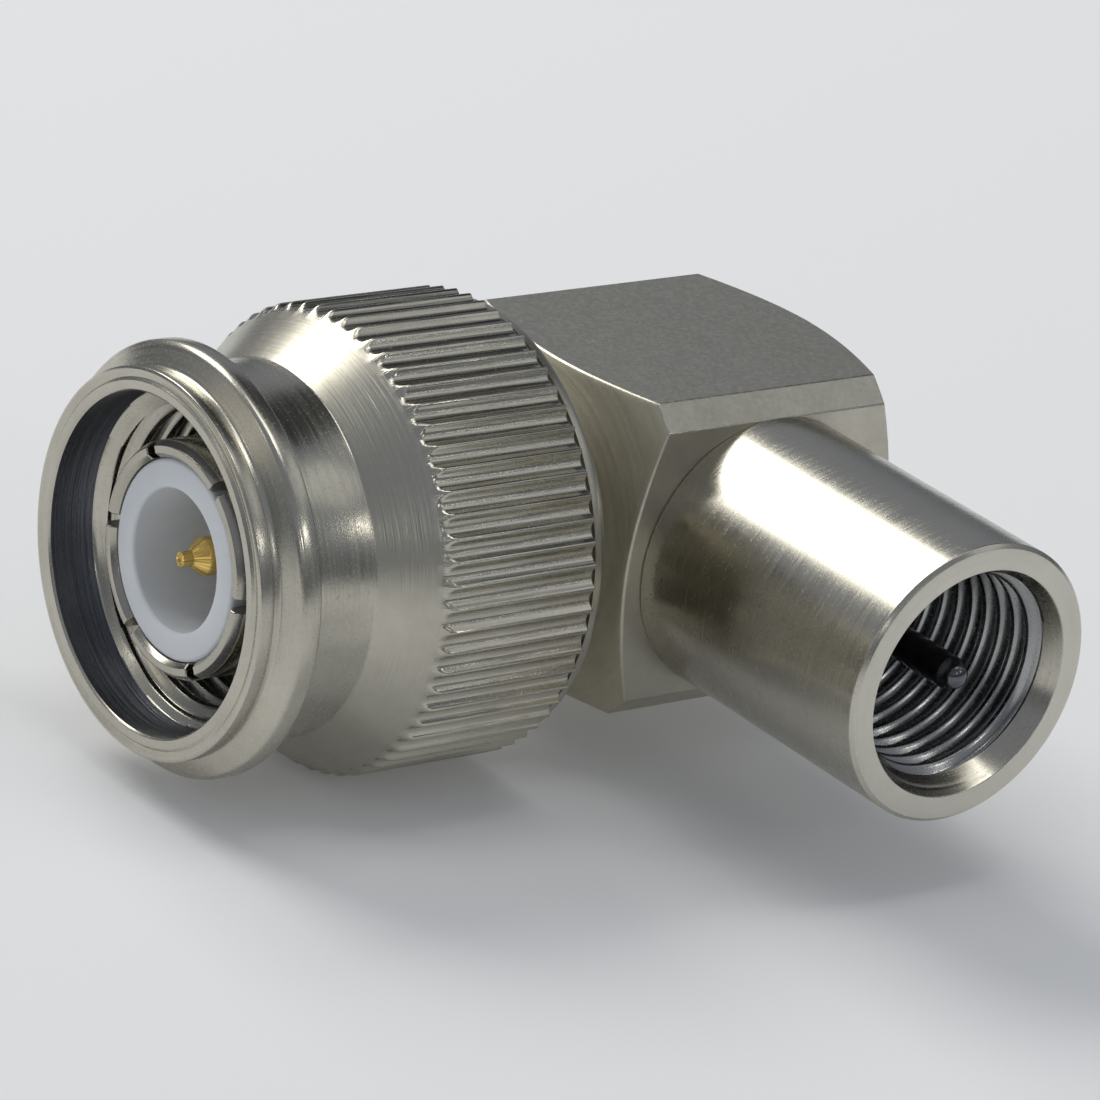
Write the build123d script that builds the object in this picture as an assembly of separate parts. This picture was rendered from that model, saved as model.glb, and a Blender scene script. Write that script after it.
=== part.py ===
from build123d import *
import math
import os

# Right-angle coaxial adapter. A plug with a knurled coupling nut faces -X, a small
# internally threaded barrel with a centre pin faces -Y, and a square block joins them.
# The origin is the centre of the nut's mouth, the nut's axis runs along X through the
# block, and +Z is up. Every size is in millimetres.
# Each turned piece is drawn as (depth, radius), its depth measured from its own mouth
# face into the part: the nut's mouth on the plug side, the barrel's mouth on the other.
# Threads are left as plain bores at their crest radius.

# Fits between pieces that stay together, and between the nut and what it turns on.
press_gap = 0.01
slip_gap = 0.024
running_gap = 0.06
ring_play = 0.08

# How far a cutting shape runs past the face it opens.
overrun = 1.0

# Where the two axes cross, and how far the barrel's mouth lies from that crossing.
elbow_depth = 21.88
barrel_reach = 17.47

# Coupling nut, outside.
nut_length = 13.48
mouth_radius = 5.88
lip_radius = 6.72
lip_length = 0.60
lip_chamfer = 0.14
valley_radius = 6.62
valley_length = 0.22
collar_radius = 7.48
collar_start = 1.24
collar_end = 1.98
waist_radius = 6.52
waist_end = 4.87
flare_angle = 38.5
knurl_radius = 8.20
knurl_depth = 0.26
knurl_count = 64
knurl_end = 12.86
rim_radius = 7.85
rim_chamfer = 0.16

# Coupling nut, inside.
counterbore_depth = 1.78
nut_thread_start = 2.28
nut_thread_radius = 5.12
nut_floor_depth = 9.50

# Spring ring that holds the nut, and its two grooves.
ring_depth = 10.90
ring_thickness = 0.60
ring_inner_radius = 4.38
ring_outer_radius = 5.34
ring_opening_angle = 28.0

# Neck, gasket and slotted outer contact.
neck_radius = 4.90
neck_depth = 7.20
gasket_depth = 5.95
gasket_radius = 4.98
contact_tip_depth = 1.02
contact_radius = 4.10
contact_bore_radius = 3.50
contact_chamfer_length = 0.26
contact_chamfer_drop = 0.16
finger_end = 5.45
finger_gap = 0.45
finger_count = 6
contact_seam_angle = 20.0
spigot_depth = 5.90
spigot_radius = 3.87
spigot_end = 9.70

# Centre line through the neck and the block: insulator and pin.
line_radius = 3.20
insulator_tip_depth = 1.17
cavity_radius = 2.47
cavity_depth = 6.40
plug_insulator_end = 18.60
plug_pin_radius = 0.675
plug_pin_tip_depth = 1.40
plug_pin_tip_radius = 0.24
plug_pin_taper_length = 1.00
pin_shank_radius = 0.95
pin_tail_length = 1.10

# Block.
block_half = 5.87
block_front = 5.77
block_rear = 5.94
block_bevel = 0.81
front_end_angle = 25.0
rear_end_angle = 29.0
chamber_radius = 3.70
chamber_front = 3.28
cap_radius = 4.60
cap_thickness = 1.20
cap_recess = 0.06

# Barrel, its insulator and pin, in depth from the barrel's own mouth.
barrel_radius = 5.10
barrel_mouth_radius = 4.17
barrel_thread_start = 1.15
barrel_thread_radius = 3.60
barrel_floor_depth = 9.50
barrel_spigot_radius = 4.40
barrel_spigot_length = 2.10
small_insulator_reach = 3.07
small_pin_radius = 0.60
small_pin_tip_depth = 0.38
small_pin_tip_radius = 0.20
small_pin_shoulder_radius = 0.47
small_pin_shoulder_length = 0.14
small_pin_round_length = 0.42
solder_stud_radius = 0.40
solder_stud_overhang = 0.45

elbow = Vector(elbow_depth, 0, 0)
barrel_frame = Location((elbow_depth, -barrel_reach, 0), (0, 0, 90))


def turned(outline):
    """Solid of a closed outline of (depth, radius) points, turned about X."""
    return revolve(make_face(Polyline(*outline, close=True)), Axis.X)


def rod(start, end, radius):
    """Plain cylinder about X from one depth to another."""
    return Pos((start + end) / 2, 0, 0) * Cylinder(radius, end - start, rotation=(0, 90, 0))


def knurl_section():
    """Section of the knurled band: a star of straight ridges, each with two plain flanks."""
    points = []
    for i in range(2 * knurl_count):
        radius = knurl_radius if i % 2 == 0 else knurl_radius - knurl_depth
        angle = math.pi * i / knurl_count
        points.append((radius * math.cos(angle), radius * math.sin(angle)))
    return make_face(Polyline(*points, close=True))


def make_coupling_nut():
    """Nut blank with its mouth, thread bore, ring groove and lip, then the knurl."""
    flare = math.tan(math.radians(flare_angle))
    knurl_start = waist_end + (knurl_radius - waist_radius) / flare
    bore_radius = neck_radius + running_gap
    groove_radius = ring_outer_radius + ring_play
    outline = [
        (0, mouth_radius),
        (0, lip_radius - lip_chamfer),
        (lip_chamfer, lip_radius),
        (lip_length, lip_radius),
        (lip_length, valley_radius),
        (lip_length + valley_length, valley_radius),
        (collar_start, collar_radius),
        (collar_end, collar_radius),
        (collar_end, waist_radius),
        (waist_end, waist_radius),
        (knurl_start, knurl_radius),
        (knurl_end, knurl_radius),
        (knurl_end, rim_radius),
        (nut_length - rim_chamfer, rim_radius),
        (nut_length, rim_radius - rim_chamfer),
        (nut_length, bore_radius),
        (ring_depth + ring_thickness + ring_play, bore_radius),
        (ring_depth + ring_thickness + ring_play, groove_radius),
        (ring_depth - ring_play, groove_radius),
        (ring_depth - ring_play, bore_radius),
        (nut_floor_depth, bore_radius),
        (nut_floor_depth, nut_thread_radius),
        (nut_thread_start, nut_thread_radius),
        (counterbore_depth, mouth_radius),
    ]
    blank = turned(outline)
    knurl = extrude(Plane.YZ.offset(-overrun) * knurl_section(), nut_length + 2 * overrun)
    return blank & knurl


def make_snap_ring():
    """Open spring ring; its ends face +Y."""
    outline = [
        (ring_depth, ring_inner_radius),
        (ring_depth, ring_outer_radius),
        (ring_depth + ring_thickness, ring_outer_radius),
        (ring_depth + ring_thickness, ring_inner_radius),
    ]
    opening = 2 * ring_outer_radius * math.sin(math.radians(ring_opening_angle / 2))
    middle = ring_depth + ring_thickness / 2
    cut = Pos(middle, ring_outer_radius, 0) * Box(2 * ring_thickness, 2 * ring_outer_radius, opening)
    return turned(outline) - cut


def make_gasket():
    """Soft ring on the neck's front face, which the mating jack is pressed against."""
    inner = spigot_radius + press_gap
    outline = [
        (gasket_depth, inner),
        (gasket_depth, gasket_radius),
        (neck_depth, gasket_radius),
        (neck_depth, inner),
    ]
    return turned(outline)


def make_outer_contact():
    """Sleeve split into spring fingers, with a spigot pressed into the neck."""
    outline = [
        (contact_tip_depth, contact_bore_radius),
        (contact_tip_depth, contact_radius - contact_chamfer_drop),
        (contact_tip_depth + contact_chamfer_length, contact_radius),
        (spigot_depth, contact_radius),
        (spigot_depth, spigot_radius),
        (spigot_end, spigot_radius),
        (spigot_end, contact_bore_radius),
    ]
    # The seam of the turned skin lies on a finger, clear of every slot.
    sleeve = Rot(contact_seam_angle, 0, 0) * turned(outline)
    slot_length = finger_end - contact_tip_depth + overrun
    slot_height = 2 * (contact_radius - contact_bore_radius + overrun)
    slot = Pos(finger_end - slot_length / 2, contact_radius, 0) * Box(slot_length, slot_height, finger_gap)
    for i in range(finger_count):
        sleeve -= Rot(360 * i / finger_count, 0, 0) * slot
    return sleeve


def make_plug_insulator():
    """White insulator: an open cup round the pin, then a rod through the neck to the chamber."""
    front_radius = contact_bore_radius - slip_gap
    shank_bore = pin_shank_radius + press_gap
    outline = [
        (insulator_tip_depth, cavity_radius),
        (insulator_tip_depth, front_radius),
        (spigot_end, front_radius),
        (spigot_end, line_radius),
        (plug_insulator_end, line_radius),
        (plug_insulator_end, shank_bore),
        (cavity_depth, shank_bore),
        (cavity_depth, cavity_radius),
    ]
    return turned(outline)


def make_plug_pin():
    """Centre pin with a blunt tapered tip; its tail is cross-drilled for the other pin."""
    tail_end = elbow_depth + pin_tail_length
    taper_end = plug_pin_tip_depth + plug_pin_taper_length
    outline = [
        (plug_pin_tip_depth, 0),
        (plug_pin_tip_depth, plug_pin_tip_radius),
        (taper_end, plug_pin_radius),
        (cavity_depth, plug_pin_radius),
        (cavity_depth, pin_shank_radius),
        (tail_end, pin_shank_radius),
        (tail_end, 0),
    ]
    pin = turned(outline)
    hole_radius = solder_stud_radius + press_gap
    hole_length = 2 * (pin_shank_radius + overrun)
    return pin - Pos(elbow) * Cylinder(hole_radius, hole_length, rotation=(90, 0, 0))


def block_envelope():
    """Turned blank of the block with the neck in front, coned at both ends."""
    corner_reach = block_half * math.sqrt(2)
    front_slope = math.tan(math.radians(front_end_angle))
    rear_slope = math.tan(math.radians(rear_end_angle))
    front = elbow_depth - block_front
    rear = elbow_depth + block_rear
    outline = [
        (neck_depth, 0),
        (neck_depth, neck_radius),
        (front - (block_half - neck_radius) * front_slope, neck_radius),
        (front + (corner_reach - block_half) * front_slope, corner_reach),
        (rear - (corner_reach - block_half) * rear_slope, corner_reach),
        (rear, block_half),
        (rear, 0),
    ]
    return turned(outline)


def make_elbow_body():
    """Square block and round neck in one piece, bored along both axes."""
    square = chamfer(Rectangle(2 * block_half, 2 * block_half).vertices(), block_bevel)
    bar = extrude(Plane.YZ * square, elbow_depth + block_rear + overrun)
    line_bore = line_radius + slip_gap
    rear = elbow_depth + block_rear
    cap_seat = rear - cap_recess - cap_thickness
    body = block_envelope() & bar
    ring_groove = turned([
        (ring_depth - ring_play, ring_inner_radius - ring_play),
        (ring_depth - ring_play, neck_radius + overrun),
        (ring_depth + ring_thickness + ring_play, neck_radius + overrun),
        (ring_depth + ring_thickness + ring_play, ring_inner_radius - ring_play),
    ])
    body -= rod(neck_depth - overrun, spigot_end, spigot_radius + press_gap)
    body -= rod(neck_depth - overrun, elbow_depth, line_bore)
    body -= rod(elbow_depth - chamber_front, cap_seat, chamber_radius)
    body -= rod(cap_seat, rear + overrun, cap_radius + press_gap)
    seat_end = barrel_reach - block_half + barrel_spigot_length
    seat_start = barrel_reach - block_half - overrun
    body -= barrel_frame * rod(seat_start, seat_end, barrel_spigot_radius + press_gap)
    body -= barrel_frame * rod(seat_start, barrel_reach, line_bore)
    return body - ring_groove


def make_rear_cap():
    """Round plug pressed into the block's far end over the solder joint."""
    back = elbow_depth + block_rear - cap_recess
    outline = [
        (back - cap_thickness, 0),
        (back - cap_thickness, cap_radius),
        (back, cap_radius),
        (back, 0),
    ]
    return turned(outline)


def make_barrel():
    """Threaded barrel with a spigot pressed into the block's side."""
    face_depth = barrel_reach - block_half
    line_bore = line_radius + slip_gap
    outline = [
        (0, barrel_mouth_radius),
        (0, barrel_radius),
        (face_depth, barrel_radius),
        (face_depth, barrel_spigot_radius),
        (face_depth + barrel_spigot_length, barrel_spigot_radius),
        (face_depth + barrel_spigot_length, line_bore),
        (barrel_floor_depth, line_bore),
        (barrel_floor_depth, barrel_thread_radius),
        (barrel_thread_start, barrel_thread_radius),
    ]
    return barrel_frame * turned(outline)


def make_small_insulator():
    """White insulator of the barrel, flush with the bottom of its thread."""
    end = barrel_reach - small_insulator_reach
    shank_bore = pin_shank_radius + press_gap
    outline = [
        (barrel_floor_depth, shank_bore),
        (barrel_floor_depth, line_radius),
        (end, line_radius),
        (end, shank_bore),
    ]
    return barrel_frame * turned(outline)


def make_small_pin():
    """Round-ended pin of the barrel; its stud is soldered through the plug pin's tail."""
    shank_end = barrel_reach - pin_shank_radius
    stud_end = barrel_reach + pin_shank_radius + solder_stud_overhang
    outline = [
        (small_pin_tip_depth, 0),
        (small_pin_tip_depth, small_pin_tip_radius),
        (small_pin_tip_depth + small_pin_shoulder_length, small_pin_shoulder_radius),
        (small_pin_tip_depth + small_pin_round_length, small_pin_radius),
        (barrel_floor_depth, small_pin_radius),
        (barrel_floor_depth, pin_shank_radius),
        (shank_end, pin_shank_radius),
        (shank_end, solder_stud_radius),
        (stud_end, solder_stud_radius),
        (stud_end, 0),
    ]
    return barrel_frame * turned(outline)


pieces = {
    "coupling_nut": make_coupling_nut(),
    "snap_ring": make_snap_ring(),
    "gasket": make_gasket(),
    "outer_contact": make_outer_contact(),
    "plug_insulator": make_plug_insulator(),
    "plug_pin": make_plug_pin(),
    "elbow_body": make_elbow_body(),
    "rear_cap": make_rear_cap(),
    "barrel": make_barrel(),
    "barrel_insulator": make_small_insulator(),
    "barrel_pin": make_small_pin(),
}

os.makedirs("parts", exist_ok=True)
for name, piece in pieces.items():
    piece.label = name
    export_step(piece, "parts/" + name + ".step")
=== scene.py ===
import math

import bmesh
import bpy
from mathutils import Matrix, Vector


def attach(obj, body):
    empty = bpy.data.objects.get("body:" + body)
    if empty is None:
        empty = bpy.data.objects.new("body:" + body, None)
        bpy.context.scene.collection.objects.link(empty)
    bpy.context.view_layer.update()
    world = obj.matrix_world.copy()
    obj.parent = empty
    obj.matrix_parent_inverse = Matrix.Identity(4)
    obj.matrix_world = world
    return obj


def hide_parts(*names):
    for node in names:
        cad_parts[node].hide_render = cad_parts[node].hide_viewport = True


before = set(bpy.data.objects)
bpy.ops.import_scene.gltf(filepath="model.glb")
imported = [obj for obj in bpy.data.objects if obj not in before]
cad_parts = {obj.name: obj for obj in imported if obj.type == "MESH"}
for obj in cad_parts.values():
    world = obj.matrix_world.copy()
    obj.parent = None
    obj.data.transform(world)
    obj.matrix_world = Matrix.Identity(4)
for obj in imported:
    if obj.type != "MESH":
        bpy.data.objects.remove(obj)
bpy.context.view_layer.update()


# Elbow body: one piece of brass. A square block with bevelled edges is turned to a shallow
# cone at both ends, with the round neck that carries the coupling nut in front. Drilled
# along both axes, tumbled and plated with dull nickel.
MM = 0.001
# Sizes are in mm. A depth on the nut's axis is measured from the nut's mouth, and one on the
# barrel's axis, such as SIDE_SEAT, from the barrel's mouth.
BARREL_DEPTH = 21.88
BARREL_REACH = 17.47
BLOCK_HALF = 5.87
BLOCK_BEVEL = 0.81
BLOCK_FRONT = BARREL_DEPTH - 5.77
BLOCK_REAR = BARREL_DEPTH + 5.94
FRONT_SLOPE = math.tan(math.radians(25))
REAR_SLOPE = math.tan(math.radians(29))
NECK_FRONT = 7.20
NECK_RADIUS = 4.90
GROOVE_FRONT = 10.82
GROOVE_BACK = 11.58
SPIGOT_BORE = 3.88
SPIGOT_END = 9.70
CORE_BORE = 3.224
CHAMBER_FRONT = 18.60
CHAMBER_RADIUS = 3.70
CAP_SEAT = 26.56
CAP_BORE = 4.61
SIDE_SEAT = 13.70
SIDE_BORE = 4.41


def plug_axis(depth, y, z):
    """Row frame point of a piece on the nut's axis, its depth measured from the nut's mouth."""
    return Vector((depth, y, z)) * MM


def barrel_axis(depth, y, z):
    """Row frame point of a piece on the barrel's axis, its depth measured from its mouth."""
    return Vector((BARREL_DEPTH - y, depth - BARREL_REACH, z)) * MM


def rounded(corners, steps=4):
    """Closed loop of points; a corner given with a third number is rounded to that radius."""
    loop = []
    for i, corner in enumerate(corners):
        point = Vector(corner[:2])
        if len(corner) == 2:
            loop.append(tuple(point))
            continue
        before = Vector(corners[i - 1][:2]) - point
        after = Vector(corners[(i + 1) % len(corners)][:2]) - point
        short = min(before.length, after.length)
        half = before.angle(after) / 2 if short > 1e-6 else math.pi / 2
        # A nearly straight corner gives as many points as the others, so that all loops match.
        if half > math.radians(89.5):
            loop += [tuple(point)] * (steps + 1)
            continue
        # The rounding takes less than half of the shorter side, so two of them never meet.
        reach = min(corner[2] / math.tan(half), 0.45 * short)
        radius = reach * math.tan(half)
        before.normalize()
        after.normalize()
        centre = point + (before + after).normalized() * radius / math.sin(half)
        start = point + before * reach - centre
        end = point + after * reach - centre
        sweep = math.pi - 2 * half
        for k in range(steps + 1):
            part = sweep * k / steps
            spoke = (start * math.sin(sweep - part) + end * math.sin(part)) / math.sin(sweep)
            loop.append(tuple(centre + spoke))
    return loop


def skin(name, columns, place):
    """Object made of (angle, loop) columns: each closed loop of (depth, radius) at its angle."""
    bm = bmesh.new()
    rings = []
    for angle, loop in columns:
        cos, sin = math.cos(angle), math.sin(angle)
        rings.append([bm.verts.new(place(x, r * cos, r * sin)) for x, r in loop])
    for left, right in zip(rings, rings[1:]):
        for k in range(len(left)):
            bm.faces.new((left[k - 1], left[k], right[k], right[k - 1]))
    same_point = 2e-8
    bmesh.ops.remove_doubles(bm, verts=bm.verts, dist=same_point)
    bmesh.ops.dissolve_degenerate(bm, dist=same_point, edges=bm.edges)
    bmesh.ops.delete(bm, geom=[e for e in bm.edges if not e.link_faces], context="EDGES")
    bmesh.ops.recalc_face_normals(bm, faces=bm.faces)
    mesh = bpy.data.meshes.new(name)
    bm.to_mesh(mesh)
    bm.free()
    piece = bpy.data.objects.new(name, mesh)
    bpy.context.collection.objects.link(piece)
    return piece


def full_turn(loop, count):
    """Columns of one loop turned all the way round."""
    return [(2 * math.pi * i / count, loop) for i in range(count + 1)]


def cut(piece, cutter):
    """Takes the cutter's solid out of the piece, as a drill or a saw does."""
    step = piece.modifiers.new("cut", "BOOLEAN")
    step.operation = "DIFFERENCE"
    step.solver = "EXACT"
    step.object = cutter
    graph = bpy.context.evaluated_depsgraph_get()
    made = bpy.data.meshes.new_from_object(piece.evaluated_get(graph))
    piece.modifiers.clear()
    piece.data = made
    bpy.data.objects.remove(cutter)


def settle(piece, material, body, node, crisp=38):
    """Smooth shading but for edges sharper than crisp degrees; then it takes its node's place."""
    piece.data.materials.clear()
    piece.data.materials.append(material)
    piece.data.shade_smooth()
    piece.data.set_sharp_from_angle(angle=math.radians(crisp))
    flat = piece.modifiers.new("flat faces stay flat", "WEIGHTED_NORMAL")
    flat.keep_sharp = True
    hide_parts(node)
    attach(piece, body)


def tint(code):
    """Linear colour of an sRGB hex code."""
    values = [int(code[i:i + 2], 16) / 255 for i in (1, 3, 5)]
    return [v / 12.92 if v <= 0.04045 else ((v + 0.055) / 1.055) ** 2.4 for v in values] + [1]


def add(tree, kind, inputs=None, **settings):
    """Adds a node; inputs gives each socket a value or the output that feeds it."""
    node = tree.nodes.new("ShaderNode" + kind)
    for key, value in settings.items():
        setattr(node, key, value)
    for key, value in (inputs or {}).items():
        if isinstance(value, bpy.types.NodeSocket):
            tree.links.new(value, node.inputs[key])
        else:
            node.inputs[key].default_value = value
    return node


def blank_material(name):
    """A material with only an output; returns it, its node tree and the output."""
    material = bpy.data.materials.new(name)
    material.use_nodes = True
    material.node_tree.nodes.clear()
    output = add(material.node_tree, "OutputMaterial")
    return material, material.node_tree, output


def on_axis(tree, barrel=False):
    """Depth along the piece's axis, distance from it, the unit vector away from it, and the place."""
    place = add(tree, "TexCoord").outputs["Object"]
    if barrel:
        moved = add(tree, "VectorMath", {0: place, 1: (-BARREL_DEPTH * MM, 0, 0)}, operation="ADD")
        along, away = (0, 1, 0), (1, 0, 1)
        place = moved.outputs[0]
    else:
        along, away = (1, 0, 0), (0, 1, 1)
    depth = add(tree, "VectorMath", {0: place, 1: along}, operation="DOT_PRODUCT").outputs["Value"]
    flat = add(tree, "VectorMath", {0: place, 1: away}, operation="MULTIPLY").outputs[0]
    radius = add(tree, "VectorMath", {0: flat}, operation="LENGTH").outputs["Value"]
    unit = add(tree, "VectorMath", {0: flat}, operation="NORMALIZE").outputs[0]
    return depth, radius, unit, place


def turning_marks(tree, axis, spacing, length):
    """Height of the fine rings a lathe tool leaves: spacing in mm, length in radians."""
    # The tool's real feed, 0.03 to 0.05 mm a turn, is too fine to show in the render, so each
    # piece's rings are drawn coarser, as far apart as its spacing says.
    depth, radius, unit, place = axis
    per_metre = 1 / (spacing * MM)
    along = add(tree, "Math", {0: depth, 1: per_metre}, operation="MULTIPLY").outputs[0]
    out = add(tree, "Math", {0: radius, 1: per_metre}, operation="MULTIPLY").outputs[0]
    around = add(tree, "VectorMath", {0: unit, "Scale": 1 / length}, operation="SCALE").outputs[0]
    lift = add(tree, "CombineXYZ", {"X": along, "Y": out}).outputs[0]
    where = add(tree, "VectorMath", {0: lift, 1: around}, operation="ADD").outputs[0]
    marks = add(tree, "TexNoise", {"Vector": where, "Scale": 1, "Detail": 3, "Roughness": 0.6})
    return marks.outputs["Fac"]


def plated(name, marks, pale, dark, rough, relief, barrel=False, broached=False):
    """Nickel plating. Its tool rings are marks, (spacing in mm, length in radians), or None if it
    is tumbled, and relief mm deep."""
    material, tree, output = blank_material(name)
    axis = on_axis(tree, barrel)
    depth, radius, unit, place = axis
    if marks:
        marked = turning_marks(tree, axis, *marks)
    else:
        # Tumbling leaves dents of 0.18 mm.
        dents = add(tree, "TexNoise", {"Vector": place, "Scale": 1 / (0.18 * MM), "Detail": 3})
        marked = dents.outputs["Fac"]
    if broached:
        # The form tool chatters on the flare and leaves rings there that are five times as deep.
        deep = add(tree, "MapRange", {"Value": depth, "From Min": 4.9 * MM, "From Max": 5.2 * MM,
                                      "To Min": 1, "To Max": 5}).outputs[0]
        marked = add(tree, "Math", {0: marked, 1: deep}, operation="MULTIPLY").outputs[0]
        # The knurl is cut lengthwise: streaks 0.06 mm apart and 3 mm long.
        per_turn = KNURL_RADIUS / 0.06
        spread = add(tree, "VectorMath", {0: unit, "Scale": per_turn}, operation="SCALE").outputs[0]
        drawn = add(tree, "Math", {0: depth, 1: 1 / (3 * MM)}, operation="MULTIPLY").outputs[0]
        lift = add(tree, "CombineXYZ", {"X": drawn}).outputs[0]
        where = add(tree, "VectorMath", {0: spread, 1: lift}, operation="ADD").outputs[0]
        streaks = add(tree, "TexNoise", {"Vector": where, "Scale": 1, "Detail": 2}).outputs["Fac"]
        streaks = add(tree, "MapRange", {"Value": streaks, "From Min": 0.3, "From Max": 0.7,
                                         "To Max": 0.8}).outputs[0]
        below_ridges = (KNURL_RADIUS - 0.30) * MM
        on_knurl = add(tree, "Math", {0: radius, 1: below_ridges}, operation="GREATER_THAN").outputs[0]
        marked = add(tree, "Mix", {"Factor": on_knurl, "A": marked, "B": streaks}).outputs[0]
    # Plating grows a little unevenly: clouds 3 mm across that break up to 0.2 mm, and pits
    # of 0.12 mm.
    cloud = add(tree, "TexNoise", {"Vector": place, "Scale": 1 / (3 * MM), "Detail": 5, "Roughness": 0.70})
    pits = add(tree, "TexNoise", {"Vector": place, "Scale": 1 / (0.12 * MM), "Detail": 2, "Roughness": 0.5})
    pitted = add(tree, "MapRange", {"Value": pits.outputs["Fac"], "From Min": 0.58, "From Max": 0.74})
    shade = add(tree, "Mix", {"Factor": cloud.outputs["Fac"], "A": tint(pale), "B": tint(dark)},
                data_type="RGBA")
    ringed = add(tree, "MapRange", {"Value": marked, "From Min": 0.3, "From Max": 0.7,
                                    "To Min": rough - 0.13, "To Max": rough})
    worn = add(tree, "Math", {0: pitted.outputs[0], 1: 0.12, 2: ringed.outputs[0]},
               operation="MULTIPLY_ADD")
    worn = add(tree, "Math", {0: cloud.outputs["Fac"], 1: 0.14, 2: worn.outputs[0]},
               operation="MULTIPLY_ADD")
    grain = add(tree, "Math", {0: pits.outputs["Fac"], 1: 0.3, 2: marked}, operation="MULTIPLY_ADD")
    bump = add(tree, "Bump", {"Strength": 1, "Distance": relief * MM, "Height": grain.outputs[0]})
    metal = add(tree, "BsdfPrincipled", {"Base Color": shade.outputs[2], "Metallic": 1,
                                         "Roughness": worn.outputs[0], "Normal": bump.outputs[0]})
    tree.links.new(metal.outputs[0], output.inputs["Surface"])
    return material


def with_steps(corners, length):
    """The closed outline with its long straight runs divided to about that length."""
    points = []
    for i, (y, z) in enumerate(corners):
        end = corners[(i + 1) % len(corners)]
        count = max(1, round(math.dist((y, z), end) / length))
        for k in range(count):
            points.append((y + (end[0] - y) * k / count, z + (end[1] - z) * k / count))
    return points


def elbow_loop(reach):
    """Lengthwise outline of the elbow body where the block's side is that far from the axis."""
    cone_foot = BLOCK_FRONT - (BLOCK_HALF - NECK_RADIUS) * FRONT_SLOPE
    front_edge = BLOCK_FRONT + (reach - BLOCK_HALF) * FRONT_SLOPE
    # Points this far inside the front edge keep the cone's shading even right up to it.
    inset = 0.25
    rear_flat = BLOCK_HALF - 0.08
    groove_floor = 4.30
    return rounded([
        (NECK_FRONT, NECK_RADIUS, 0.10),
        (GROOVE_FRONT, NECK_RADIUS),
        (GROOVE_FRONT, groove_floor),
        (GROOVE_BACK, groove_floor),
        (GROOVE_BACK, NECK_RADIUS),
        (cone_foot, NECK_RADIUS, 0.15),
        (front_edge - inset * FRONT_SLOPE, reach - inset),
        (front_edge, reach, 0.15),
        (BLOCK_REAR - (reach - rear_flat) * REAR_SLOPE, reach, 0.09),
        (BLOCK_REAR, rear_flat, 0.06),
        (BLOCK_REAR, CAP_BORE, 0.08),
        (CAP_SEAT, CAP_BORE),
        (CAP_SEAT, CHAMBER_RADIUS),
        (CHAMBER_FRONT, CHAMBER_RADIUS),
        (CHAMBER_FRONT, CORE_BORE),
        (SPIGOT_END, CORE_BORE),
        (SPIGOT_END, SPIGOT_BORE),
        (NECK_FRONT, SPIGOT_BORE, 0.05),
    ])


flat_half = BLOCK_HALF - BLOCK_BEVEL
square = [
    (BLOCK_HALF, -flat_half), (BLOCK_HALF, flat_half), (flat_half, BLOCK_HALF), (-flat_half, BLOCK_HALF),
    (-BLOCK_HALF, flat_half), (-BLOCK_HALF, -flat_half), (-flat_half, -BLOCK_HALF), (flat_half, -BLOCK_HALF),
]
edge_radius = 0.14
section = with_steps(rounded([(y, z, edge_radius) for y, z in square], 3), 0.2)
columns = [(math.atan2(z, y), elbow_loop(math.hypot(y, z))) for y, z in section + section[:1]]
elbow = skin("milled_elbow", columns, plug_axis)
drill_start = 11.0
side_drill = [
    (drill_start, 0), (drill_start, SIDE_BORE), (SIDE_SEAT, SIDE_BORE), (SIDE_SEAT, CORE_BORE),
    (BARREL_REACH, CORE_BORE), (BARREL_REACH, 0),
]
cut(elbow, skin("side_drill", full_turn(side_drill, 96), barrel_axis))

# Milled and tumbled nickel: an even satin grey with a fine grain, warm in the light.
nickel_milled = plated("nickel_plated_brass_tumbled", None, "#cac6b9", "#aba79a", 0.35, 0.0020)
settle(elbow, nickel_milled, "adapter", "elbow_body")
# The two cones are left as the lathe made them, rougher than the flats, and painted paler and yellower as
# the warm reflection they show.
# They lean 25 and 29 degrees, which gives their normals an x of 0.91 and 0.87.
cones_painted_paler = plated("rough_turned_nickel_painted_reflection", (0.16, 1.0), "#dcd6c4", "#a9a38f", 0.52, 0.0040)
elbow.data.materials.append(cones_painted_paler)
for face in elbow.data.polygons:
    if 0.80 < abs(face.normal.x) < 0.95:
        face.material_index = 1


# Rear cap: a turned brass disc, nickel plated and pressed into the block's far end to close
# the chamber where the two pins are soldered.
cap_radius = CAP_BORE - 0.01
cap_face = BLOCK_REAR - 0.06
cap_loop = rounded([(CAP_SEAT, 0), (CAP_SEAT, cap_radius), (cap_face, cap_radius, 0.12), (cap_face, 0)])
cap = skin("end_cap", full_turn(cap_loop, 128), plug_axis)
# Faced on a lathe: rings round the centre that draw the highlight out into spokes.
nickel_faced = plated("nickel_plated_brass_faced", (0.14, 1.5), "#c6c2b5", "#b1ada0", 0.27, 0.0020)
settle(cap, nickel_faced, "adapter", "rear_cap")


# Barrel: brass tube turned from bar, M8 x 0.75 inside, plated with nickel and pressed by its
# spigot into the block's side.
BARREL_RADIUS = 5.10
BARREL_MOUTH = 4.17
BARREL_FLOOR = 9.50
BARREL_THREAD = 1.15
BARREL_PITCH = 0.75
BARREL_CREST = 3.60
BARREL_ROOT = 4.00


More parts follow.
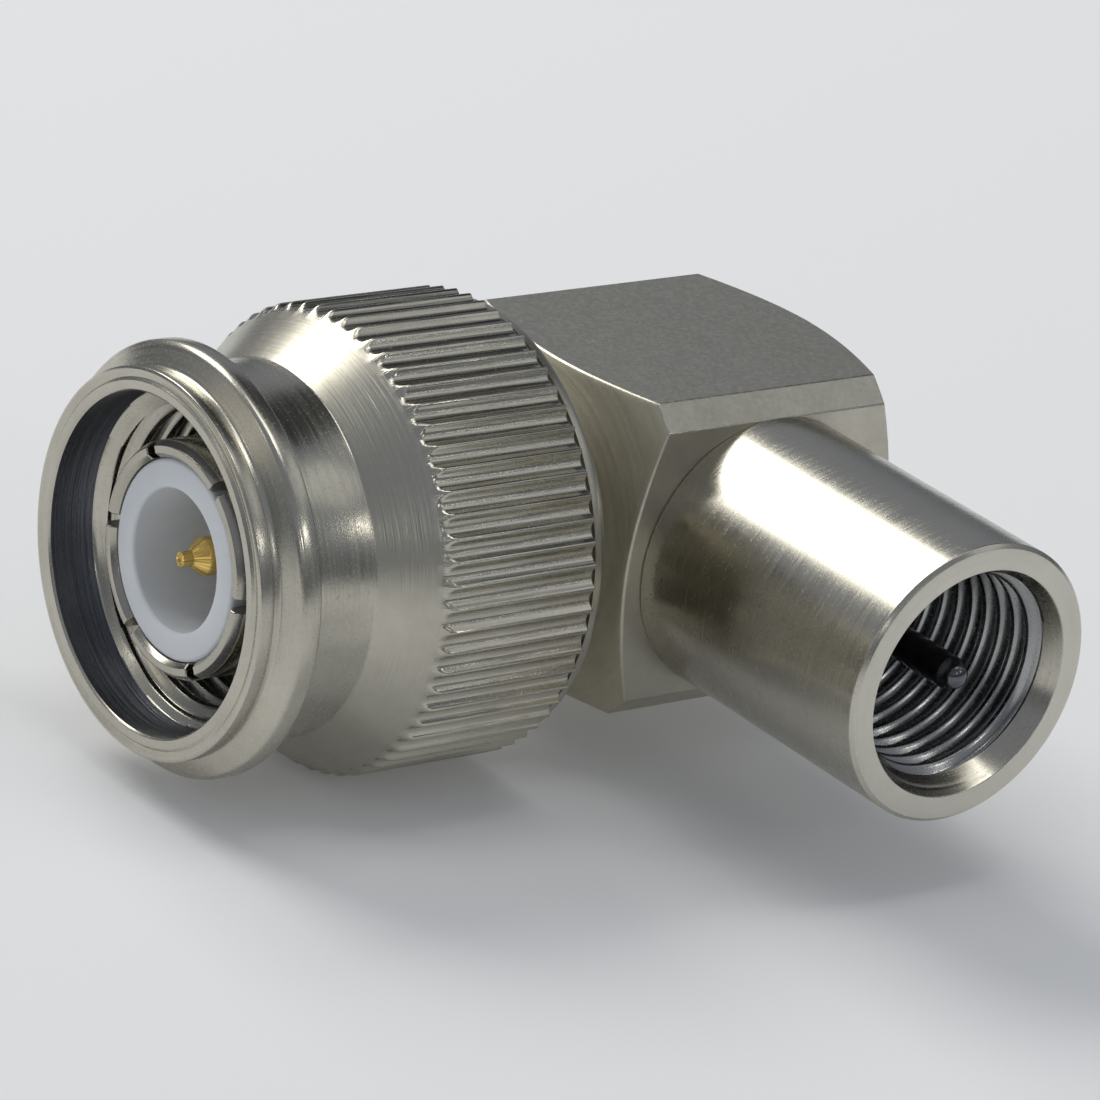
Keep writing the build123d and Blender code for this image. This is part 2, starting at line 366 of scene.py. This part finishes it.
def thread_rows(mouth, start, end, pitch, crest, root, angle):
    """(depth, radius) rows along a right-handed inside thread that starts in its mouth's chamfer."""
    flank = (root - crest) * math.tan(math.radians(30)) / pitch
    # As shares of the pitch: a flank, the crest, which takes 0.62 of what the two flanks leave,
    # the place where the second flank starts, and how far the edges are broken.
    top = 0.62 * (1 - 2 * flank)
    low = 1 - flank
    soft = 0.025
    form = [
        (soft, 0), (top - soft, 0), (top + soft, 0.07), (top + flank / 3, 0.33),
        (top + flank / 1.5, 0.67), (top + flank - soft, 0.93), (top + flank + soft, 1),
        (low - soft, 1), (low + soft, 0.93), (low + flank / 3, 0.67), (low + flank / 1.5, 0.33),
        (1 - soft, 0.07),
    ]
    rows = []
    for turn in range(math.ceil((end - mouth[0]) / pitch + 1.1)):
        for phase, share in form:
            x = mouth[0] + (turn + phase + angle / (2 * math.pi) - 1) * pitch
            x = min(max(x, mouth[0]), end)
            # The groove runs out over its last half turn.
            fade = min(1, (end - x) / (0.5 * pitch))
            groove = crest + (root - crest) * share * fade * fade * (3 - 2 * fade)
            chamfer = crest + (mouth[1] - crest) * (start - x) / (start - mouth[0])
            rows.append((x, max(groove, chamfer)))
    return rows


def barrel_loop(angle):
    """Lengthwise outline of the barrel with its thread at this angle."""
    spigot_front = 11.60
    spigot_radius = SIDE_BORE - 0.01
    loop = rounded([
        (0, BARREL_MOUTH, 0.05),
        (0, BARREL_RADIUS - 0.15, 0.03),
        (0.14, BARREL_RADIUS, 0.05),
        (spigot_front, BARREL_RADIUS, 0.06),
        (spigot_front, spigot_radius),
        (SIDE_SEAT, spigot_radius),
        (SIDE_SEAT, CORE_BORE),
        (BARREL_FLOOR, CORE_BORE),
        (BARREL_FLOOR, BARREL_CREST),
        (BARREL_THREAD, BARREL_CREST),
    ])
    # The thread's rows, from just inside the mouth, replace the last two points, the plain bore.
    in_mouth = (0.06, BARREL_MOUTH - 0.03)
    rows = thread_rows(in_mouth, BARREL_THREAD, BARREL_FLOOR, BARREL_PITCH, BARREL_CREST, BARREL_ROOT,
                       angle)
    return loop[:-2] + rows[::-1]


angles = [2 * math.pi * i / 160 for i in range(161)]
barrel = skin("threaded_barrel", [(a, barrel_loop(a)) for a in angles], barrel_axis)
# Fine-turned nickel: silky along the barrel, with pits that glint in the long highlight.
nickel_barrel = plated("nickel_plated_brass_fine_turned", (0.09, 0.9), "#c8c4b8", "#b2aea2", 0.22, 0.0011,
                       barrel=True)
settle(barrel, nickel_barrel, "adapter", "barrel")
# The mouth's end face is faced off and stays matt, and is painted paler than the barrel as the even light it
# takes all round.
matt_face_painted_light = plated("nickel_plated_brass_matt_face", (0.06, 2), "#dad7cc", "#d0ccc0", 0.46, 0.0010,
                   barrel=True)
barrel.data.materials.append(matt_face_painted_light)
# The tap leaves the thread smooth; its plating is painted darker and greyer than the outside, as the shade
# inside the bore.
thread_painted_darker = plated("tapped_thread_painted_shade", (0.20, 1), "#b0b0af", "#9b9b9c", 0.24, 0.0003,
                       barrel=True)
barrel.data.materials.append(thread_painted_darker)
# The mouth's end face takes the paler matt colour, and the thread inside the bore its painted shade.
for face in barrel.data.polygons:
    depth = face.center.y / MM + BARREL_REACH
    radius = math.hypot(face.center.x / MM - BARREL_DEPTH, face.center.z / MM)
    if depth < 0.01:
        face.material_index = 1
    elif depth > 0.9 and radius < BARREL_ROOT + 0.05:
        face.material_index = 2


# Barrel insulator: a short tube turned from white fluoroplastic rod, pushed in behind the
# thread so that it lies flush with its bottom.
CORE_RADIUS = 3.20
STEM_RADIUS = 0.95
STEM_BORE = STEM_RADIUS + 0.01
bead_end = 14.40
bead_loop = rounded([
    (BARREL_FLOOR, STEM_BORE, 0.05), (BARREL_FLOOR, CORE_RADIUS, 0.10),
    (bead_end, CORE_RADIUS), (bead_end, STEM_BORE),
])
bead = skin("barrel_bead", full_turn(bead_loop, 96), barrel_axis)


def fluoroplastic(name, barrel):
    """Turned white fluoroplastic: waxy and a little see-through, with faint tool rings."""
    material, tree, output = blank_material(name)
    axis = on_axis(tree, barrel)
    depth, radius, unit, place = axis
    rings = turning_marks(tree, axis, 0.12, 2)
    cloud = add(tree, "TexNoise", {"Vector": place, "Scale": 1 / (1.5 * MM), "Detail": 3})
    shade = add(tree, "Mix", {"Factor": cloud.outputs["Fac"], "A": tint("#eef1f4"), "B": tint("#dfe4e9")},
                data_type="RGBA")
    bump = add(tree, "Bump", {"Strength": 1, "Distance": 0.0012 * MM, "Height": rings})
    wax = add(tree, "BsdfPrincipled", {"Base Color": shade.outputs[2], "Roughness": 0.42, "IOR": 1.38,
                                       "Subsurface Weight": 0.35, "Subsurface Scale": 0.5 * MM,
                                       "Subsurface Radius": (1, 1, 1), "Normal": bump.outputs[0]})
    tree.links.new(wax.outputs[0], output.inputs["Surface"])
    return material


settle(bead, fluoroplastic("white_fluoroplastic_turned_bead", True), "adapter",
       "barrel_insulator")


# Barrel pin: a round-ended pin turned from bronze and polished, held in the insulator; its
# thin stud is soldered through the other pin's tail.
pin_tip = 0.38
pin_radius = 0.60
stem_end = 16.52
stud_radius = 0.40
stud_end = 18.87
nose = [math.radians(9 * k) for k in range(11)]
pin_loop = [(pin_tip + 0.34 * (1 - math.cos(t)), 0.46 * math.sin(t)) for t in nose] + rounded([
    (0.80, 0.47), (1.05, pin_radius, 0.20), (BARREL_FLOOR, pin_radius), (BARREL_FLOOR, STEM_RADIUS),
    (stem_end, STEM_RADIUS, 0.06), (stem_end, stud_radius), (stud_end, stud_radius, 0.08), (stud_end, 0),
])
small_pin = skin("round_pin", full_turn(pin_loop, 48), barrel_axis)
material, tree, output = blank_material("pin_plating_painted_shade")
# Smooth polished plating that mirrors the thread around it, painted nearly black as the shade
# deep in the barrel, and painted lighter grey near the mouth as the light that reaches the tip.
axis = on_axis(tree, True)
depth, radius, unit, place = axis
rings = turning_marks(tree, axis, 0.10, 1)
sheen = add(tree, "MapRange", {"Value": rings, "From Min": 0.3, "From Max": 0.7, "To Min": 0.14,
                               "To Max": 0.24})
hue = add(tree, "Mix", {"Factor": rings, "A": tint("#2c2c30"), "B": tint("#3d3d42")}, data_type="RGBA")
# Painted light: the pin is lighter grey up to 0.80 mm behind the mouth, fading out by 1.15 mm.
painted_light_near_mouth = add(tree, "MapRange", {"Value": depth, "From Min": (0.80 - BARREL_REACH) * MM,
                                "From Max": (1.15 - BARREL_REACH) * MM, "To Min": 1, "To Max": 0})
hue = add(tree, "Mix", {"Factor": painted_light_near_mouth.outputs[0], "A": hue.outputs[2], "B": tint("#65676b")},
          data_type="RGBA")
bump = add(tree, "Bump", {"Strength": 1, "Distance": 0.0008 * MM, "Height": rings})
metal = add(tree, "BsdfPrincipled", {"Base Color": hue.outputs[2], "Metallic": 1,
                                     "Roughness": sheen.outputs[0], "Normal": bump.outputs[0]})
tree.links.new(metal.outputs[0], output.inputs["Surface"])
settle(small_pin, material, "adapter", "barrel_pin")


# Plug insulator: white fluoroplastic rod turned to a cup in front and drilled for the pin,
# trapped between the outer contact's spigot and the step inside the neck.
CUP_FLOOR = 6.40
cup_mouth = 1.17
cup_bore = 2.47
cup_radius = 3.476
cup_loop = rounded([
    (cup_mouth, cup_bore, 0.12), (cup_mouth, cup_radius, 0.16), (SPIGOT_END, cup_radius, 0.04),
    (SPIGOT_END, CORE_RADIUS), (CHAMBER_FRONT, CORE_RADIUS), (CHAMBER_FRONT, STEM_BORE),
    (CUP_FLOOR, STEM_BORE), (CUP_FLOOR, cup_bore, 0.20),
])
cup = skin("insulator_cup", full_turn(cup_loop, 128), plug_axis)
settle(cup, fluoroplastic("white_fluoroplastic_turned_cup", False), "adapter",
       "plug_insulator")


# Plug pin: bronze pin with a blunt tapered tip, gold plated; its tail is cross-drilled in
# the chamber for the other pin's stud.
gold_tip = 1.40
gold_radius = 0.675
gold_end = 22.98
gold_loop = rounded([
    (gold_tip, 0), (gold_tip, 0.25, 0.06), (1.82, 0.28, 0.08), (2.30, gold_radius, 0.20),
    (CUP_FLOOR, gold_radius), (CUP_FLOOR, STEM_RADIUS), (gold_end, STEM_RADIUS, 0.10), (gold_end, 0),
])
gold_pin = skin("gold_pin", full_turn(gold_loop, 64), plug_axis)
hole_radius = stud_radius + 0.01
# The drill goes right through the tail, from 15 to 20 mm behind the barrel's mouth.
stud_hole = [(15.0, 0), (15.0, hole_radius), (20.0, hole_radius), (20.0, 0)]
cut(gold_pin, skin("stud_drill", full_turn(stud_hole, 24), barrel_axis))
material, tree, output = blank_material("gold_plated_bronze_turned")
# Hard gold polished lengthwise: a yellow mirror whose lights run along the pin in lines, with
# paler and deeper yellow lines painted in as highlight bands. The real scratches are too fine to show, so
# only about 15 lines go round the pin.
depth, radius, unit, place = on_axis(tree)
around = add(tree, "VectorMath", {0: unit, "Scale": 2.4}, operation="SCALE").outputs[0]
lines = add(tree, "TexNoise", {"Vector": around, "Scale": 1, "Detail": 2, "Roughness": 0.6}).outputs["Fac"]
# The lines' paler and deeper yellows are painted highlight bands.
hue = add(tree, "Mix", {"Factor": lines, "A": tint("#ffe696"), "B": tint("#f2ba4c")}, data_type="RGBA")
sheen = add(tree, "MapRange", {"Value": lines, "From Min": 0.3, "From Max": 0.7, "To Min": 0.12,
                               "To Max": 0.22})
bump = add(tree, "Bump", {"Strength": 1, "Distance": 0.16 * MM, "Height": lines})
metal = add(tree, "BsdfPrincipled", {"Base Color": hue.outputs[2], "Metallic": 1,
                                     "Roughness": sheen.outputs[0], "Normal": bump.outputs[0]})
tree.links.new(metal.outputs[0], output.inputs["Surface"])
settle(gold_pin, material, "adapter", "plug_pin")


# Outer contact: a bronze sleeve, nickel plated, sawn into six spring fingers and pressed
# into the neck by its spigot.
contact_bore = 3.50
contact_radius = 4.10
contact_mouth = 1.02
shoulder = 5.90
finger_gap = 0.45
saw_depth = 5.45
sleeve_loop = rounded([
    (contact_mouth + 0.18, contact_bore, 0.04), (contact_mouth, 3.66, 0.04), (contact_mouth, 3.92, 0.06),
    (1.28, contact_radius, 0.10), (shoulder, contact_radius, 0.05), (shoulder, SPIGOT_BORE - 0.01),
    (SPIGOT_END, SPIGOT_BORE - 0.01, 0.08), (SPIGOT_END, contact_bore),
])
# Half a step keeps every column of points out of the saw cuts' middles.
half_step = math.pi / 96
columns = [(angle + half_step, loop) for angle, loop in full_turn(sleeve_loop, 96)]
contact = skin("spring_contact", columns, plug_axis)


def box_cutter(name, low, high, turn=0.0):
    """Box between two corners in mm, turned about the nut's axis, to be cut out of a piece."""
    middle = (Vector(low) + Vector(high)) / 2
    size = Vector(high) - Vector(low)
    bm = bmesh.new()
    bmesh.ops.create_cube(bm, size=1, matrix=Matrix.Rotation(turn, 4, "X")
                          @ Matrix.Translation(middle * MM)
                          @ Matrix.Diagonal((size * MM).to_4d()))
    mesh = bpy.data.meshes.new(name)
    bm.to_mesh(mesh)
    bm.free()
    cutter = bpy.data.objects.new(name, mesh)
    bpy.context.collection.objects.link(cutter)
    return cutter


# Each of the three cuts goes through both walls, which leaves six fingers.
saw_half = finger_gap / 2
for k in range(3):
    cut(contact, box_cutter("saw", (-2, -6, -saw_half), (saw_depth, 6, saw_half), math.pi * k / 3))
soften = contact.modifiers.new("saw edges broken", "BEVEL")
soften.width = 0.04 * MM
soften.segments = 2
soften.limit_method = "ANGLE"
soften.angle_limit = math.radians(40)
# Turned and polished nickel: a little smoother than the nut, with thin rings.
nickel_contact = plated("nickel_plated_bronze_turned", (0.10, 1.2), "#bebaae", "#a6a297", 0.20, 0.0012)
settle(contact, nickel_contact, "adapter", "outer_contact")


# Gasket: a moulded silicone ring on the neck's front face, behind the contact's shoulder.
# It seals against the front of the mating connector.
gasket_front = shoulder + 0.05
gasket_radius = 4.98
gasket_loop = rounded([
    (gasket_front, SPIGOT_BORE, 0.12), (gasket_front, gasket_radius, 0.25),
    (NECK_FRONT, gasket_radius, 0.12), (NECK_FRONT, SPIGOT_BORE, 0.12),
])
gasket = skin("rubber_gasket", full_turn(gasket_loop, 96), plug_axis)
material, tree, output = blank_material("silicone_rubber_moulded")
# Matte grey rubber with a fine moulded grain, 0.2 mm across.
place = add(tree, "TexCoord").outputs["Object"]
grain = add(tree, "TexNoise", {"Vector": place, "Scale": 1 / (0.2 * MM), "Detail": 3}).outputs["Fac"]
hue = add(tree, "Mix", {"Factor": grain, "A": tint("#6a6a6c"), "B": tint("#57575a")}, data_type="RGBA")
bump = add(tree, "Bump", {"Strength": 1, "Distance": 0.004 * MM, "Height": grain})
rubber = add(tree, "BsdfPrincipled", {"Base Color": hue.outputs[2], "Roughness": 0.62, "IOR": 1.42,
                                      "Normal": bump.outputs[0]})
tree.links.new(rubber.outputs[0], output.inputs["Surface"])
settle(gasket, material, "adapter", "gasket")


# Spring ring: flat spring steel bent to an open ring; it lies half in the neck's groove and
# half in the nut's, and holds the nut on while it turns.
ring_front = GROOVE_FRONT + 0.08
ring_back = GROOVE_BACK - 0.08
ring_bore = 4.38
ring_radius = 5.34
ring_loop = rounded([
    (ring_front, ring_bore, 0.06), (ring_front, ring_radius, 0.06),
    (ring_back, ring_radius, 0.06), (ring_back, ring_bore, 0.06),
])
ring = skin("spring_ring", full_turn(ring_loop, 96), plug_axis)
gap_half = 1.292
cut(ring, box_cutter("gap", (9.7, 3, -gap_half), (12.7, 7, gap_half)))
material, tree, output = blank_material("spring_steel_rolled")
# Rolled and hardened steel: darker than the plating, with faint streaks along the strip.
rings = turning_marks(tree, on_axis(tree), 0.08, 3)
hue = add(tree, "Mix", {"Factor": rings, "A": tint("#9a9a9c"), "B": tint("#7f7f83")}, data_type="RGBA")
bump = add(tree, "Bump", {"Strength": 1, "Distance": 0.001 * MM, "Height": rings})
metal = add(tree, "BsdfPrincipled", {"Base Color": hue.outputs[2], "Metallic": 1, "Roughness": 0.36,
                                     "Normal": bump.outputs[0]})
tree.links.new(metal.outputs[0], output.inputs["Surface"])
settle(ring, material, "adapter", "snap_ring")


# Coupling nut: turned from brass bar, threaded 7/16-28 inside, straight-knurled by cutting
# and nickel plated; it turns freely on the neck.
RIDGES = 64
KNURL_RADIUS = 8.20
KNURL_DEPTH = 0.26
COLLAR_RADIUS = 7.48
WAIST_RADIUS = 6.52
RIM_RADIUS = 6.72
REAR_BEAD = 7.85
FLARE_START = 4.87
FLARE = math.tan(math.radians(38.5))
# A ring of points on the flare, below the grooves' floor, which keeps it round up to the knurl.
FLARE_ROW = 7.74
NUT_LENGTH = 13.48
NUT_BORE = 4.96
NUT_MOUTH = 5.88
NUT_PITCH = 25.4 / 28
NUT_CREST = 5.12
NUT_ROOT = 5.556
LEAD_IN = 1.78
THREAD_FRONT = 2.28
THREAD_BACK = 8.60
THREAD_BEGINS = math.radians(32)
# From one groove's bottom to the next, as (share of the pitch, share of the groove's depth):
# wide round grooves with narrow ridges between them.
RIDGE_FORM = [
    (0, 1), (0.16, 0.92), (0.29, 0.66), (0.39, 0.30), (0.465, 0.03), (0.535, 0.03), (0.61, 0.30),
    (0.71, 0.66), (0.84, 0.92),
]


def nut_loop(angle, share):
    """Lengthwise outline of the nut at this angle, share of the knurl's depth below its crest."""
    crest = KNURL_RADIUS - KNURL_DEPTH * share
    thin_groove = 7.66
    ring_room = 5.42
    relief_back = 9.50
    relief_radius = 5.60
    loop = rounded([
        (LEAD_IN, NUT_MOUTH),
        (0.08, NUT_MOUTH, 0.04),
        (0, 5.96, 0.03),
        (0, 6.24, 0.05),
        (0.11, 6.36, 0.05),
        (0.02, 6.60, 0.08),
        (0.08, RIM_RADIUS, 0.05),
        (0.60, RIM_RADIUS, 0.05),
        (0.64, 6.58),
        (0.86, 6.62, 0.16),
        (1.24, COLLAR_RADIUS, 0.26),
        (1.98, COLLAR_RADIUS, 0.08),
        (1.98, WAIST_RADIUS, 0.08),
        (FLARE_START, WAIST_RADIUS, 0.12),
        (FLARE_START + (FLARE_ROW - WAIST_RADIUS) / FLARE, FLARE_ROW),
        (FLARE_START + (crest - WAIST_RADIUS) / FLARE, crest, 0.50),
        (12.86, crest, 0.06),
        (12.90, thin_groove),
        (13.02, thin_groove),
        (13.06, REAR_BEAD),
        (NUT_LENGTH, REAR_BEAD, 0.22),
        (NUT_LENGTH, NUT_BORE),
        (GROOVE_BACK, NUT_BORE),
        (GROOVE_BACK, ring_room),
        (GROOVE_FRONT, ring_room),
        (GROOVE_FRONT, NUT_BORE),
        (relief_back, NUT_BORE),
        (relief_back, relief_radius),
        (THREAD_BACK, relief_radius),
        (THREAD_BACK, NUT_CREST),
        (THREAD_FRONT, NUT_CREST),
    ], 3)
    # The thread's rows replace the last two points, the plain bore.
    lead_in = (LEAD_IN, NUT_MOUTH)
    rows = thread_rows(lead_in, THREAD_FRONT, THREAD_BACK, NUT_PITCH, NUT_CREST, NUT_ROOT,
                       angle - THREAD_BEGINS)
    return loop[:-2] + rows[::-1]


columns = []
for k in range(RIDGES + 1):
    for phase, share in RIDGE_FORM if k < RIDGES else RIDGE_FORM[:1]:
        angle = 2 * math.pi * (k + phase - 0.5) / RIDGES
        columns.append((angle, nut_loop(angle, share)))
nut = skin("knurled_nut", columns, plug_axis)
# Turned nickel: visible tool rings on the waist and collar that break up each reflection.
nickel_turned = plated("nickel_plated_brass_turned", (0.13, 0.8), "#cdc9bc", "#aaa699", 0.23, 0.0042,
                       broached=True)
# The knurl's grooves are round, so only edges over 58 degrees stay sharp on the nut.
settle(nut, nickel_turned, "nut", "coupling_nut", crisp=58)
# Inside the mouth the plating is dull and rough, and painted nearly black as the shade inside the bore, next
# to the bright outside.
bore_in_painted_shade = plated("bore_wall_nickel_painted_shade", (0.24, 2), "#777a80", "#4c4e54", 0.40, 0.0240)
nut.data.materials.append(bore_in_painted_shade)
# The mouth's inner wall takes the painted shade.
for face in nut.data.polygons:
    depth, radius = face.center.x / MM, math.hypot(face.center.y, face.center.z) / MM
    if 0.08 < depth < LEAD_IN - 0.02 and radius < NUT_MOUTH + 0.07:
        face.material_index = 1


# Floor and light: the nut stands on a pale table, under a large soft lamp above and behind it
# and dimmer ones straight above and to both sides, in a cool grey room, lighter overhead.
bm = bmesh.new()
bmesh.ops.create_grid(bm, x_segments=1, y_segments=1, size=1.5,
                      matrix=Matrix.Translation(Vector((10, 0, -KNURL_RADIUS)) * MM))
table = bpy.data.meshes.new("floor")
bm.to_mesh(table)
bm.free()
floor = bpy.data.objects.new("floor", table)
bpy.context.collection.objects.link(floor)
material, tree, output = blank_material("pale_table_laminate")
# White matt laminate: it throws soft light up at the part and takes its shadow. The little
# white that is added shows directly, in metal and through glass alike.
ray = add(tree, "LightPath").outputs
shown = add(tree, "Math", {0: ray["Is Camera Ray"], 1: ray["Is Glossy Ray"]}, operation="MAXIMUM").outputs[0]
shown = add(tree, "Math", {0: shown, 1: ray["Is Transmission Ray"]}, operation="MAXIMUM").outputs[0]
matt = add(tree, "BsdfDiffuse", {"Color": tint("#ebecee")}).outputs[0]
white = add(tree, "Emission", {"Color": (1, 1, 1, 1), "Strength": 0.07}).outputs[0]
both = add(tree, "AddShader", {0: matt, 1: white}).outputs[0]
mixed = add(tree, "MixShader", {0: shown, 1: matt, 2: both}).outputs[0]
tree.links.new(mixed, output.inputs["Surface"])
floor.data.materials.append(material)

world = bpy.data.worlds.new("room")
bpy.context.scene.world = world
world.use_nodes = True
world.node_tree.nodes.clear()
tree = world.node_tree
way = add(tree, "TexCoord").outputs["Generated"]
height = add(tree, "SeparateXYZ", {0: way}).outputs["Z"]
level = add(tree, "MapRange", {"Value": height, "From Min": -0.05, "From Max": 0.45,
                               "To Min": 0.11, "To Max": 0.29}, interpolation_type="SMOOTHSTEP").outputs[0]
# A black cloth hangs to the right of the lamps and gives the turned metal its dark bands.
cloth_side = Vector((0.60, 0.27, 0.75)).normalized()
facing = add(tree, "VectorMath", {0: way, 1: cloth_side}, operation="DOT_PRODUCT").outputs["Value"]
cloth = add(tree, "MapRange", {"Value": facing, "From Min": 0.930, "From Max": 0.975,
                               "To Min": 1, "To Max": 0.14}, interpolation_type="SMOOTHSTEP").outputs[0]
level = add(tree, "Math", {0: level, 1: cloth}, operation="MULTIPLY").outputs[0]
room = add(tree, "Background", {"Color": (0.91, 0.98, 1.12, 1), "Strength": level}).outputs[0]
tree.links.new(room, add(tree, "OutputWorld").inputs["Surface"])


def lamp(name, direction, width, height, radiance, colour="#fffdf6"):
    """Soft rectangular lamp 700 mm off, aimed at the part; sizes in mm, radiance as a colour level."""
    light = bpy.data.lights.new(name, "AREA")
    light.shape = "RECTANGLE"
    light.size, light.size_y = width * MM, height * MM
    light.energy = radiance * math.pi * width * height * MM * MM
    light.color = tint(colour)[:3]
    fitting = bpy.data.objects.new(name, light)
    middle = Vector((14, -4, 0))
    aim = Vector(direction).normalized()
    fitting.location = (middle + aim * 700) * MM
    fitting.rotation_euler = aim.to_track_quat("Z", "Y").to_euler()
    fitting.visible_camera = False
    bpy.context.collection.objects.link(fitting)


lamp("softbox_behind", (-0.12, 0.70, 0.70), 500, 330, 5.0)
lamp("softbox_above", (0.06, -0.05, 1.0), 200, 560, 1.9)
lamp("card_right", (0.60, -0.40, 0.69), 300, 220, 0.42)
lamp("card_left", (-0.86, 0.46, 0.24), 300, 130, 0.75, "#fff1d8")
# Five small bright lamps put sparks on the knurl, the rims, the threads and the gold.
lamp("spot_right", (0.47, -0.76, 0.46), 80, 50, 8)
lamp("spot_above", (0.02, -0.22, 0.97), 80, 60, 8)
lamp("spot_front", (-0.04, -0.87, 0.46), 80, 50, 9)
lamp("spot_lens", (-0.51, -0.77, 0.38), 36, 24, 14)
lamp("spot_left", (-0.86, 0.23, 0.46), 80, 50, 5)


# Camera: a long lens from the front left and above, at the photograph's angle. It is aimed
# at a point between the nut and the barrel, on the plane that holds both their axes.
camera = bpy.data.objects.new("camera", bpy.data.cameras.new("camera"))
bpy.context.collection.objects.link(camera)
camera.data.sensor_width = 36
camera.data.lens = 195.42
camera.data.clip_start = 0.001
target = Matrix.Translation(Vector((14.65, -3.36, 0)) * MM)
swing = Matrix.Rotation(math.radians(-40.308), 4, "Z")
tilt = Matrix.Rotation(math.radians(67.894), 4, "X")
roll = Matrix.Rotation(math.radians(8.914), 4, "Z")
distance = Matrix.Translation((0, 0, 206.58 * MM))
camera.matrix_world = target @ swing @ tilt @ roll @ distance
bpy.context.scene.camera = camera
bpy.context.scene.view_settings.view_transform = "Standard"
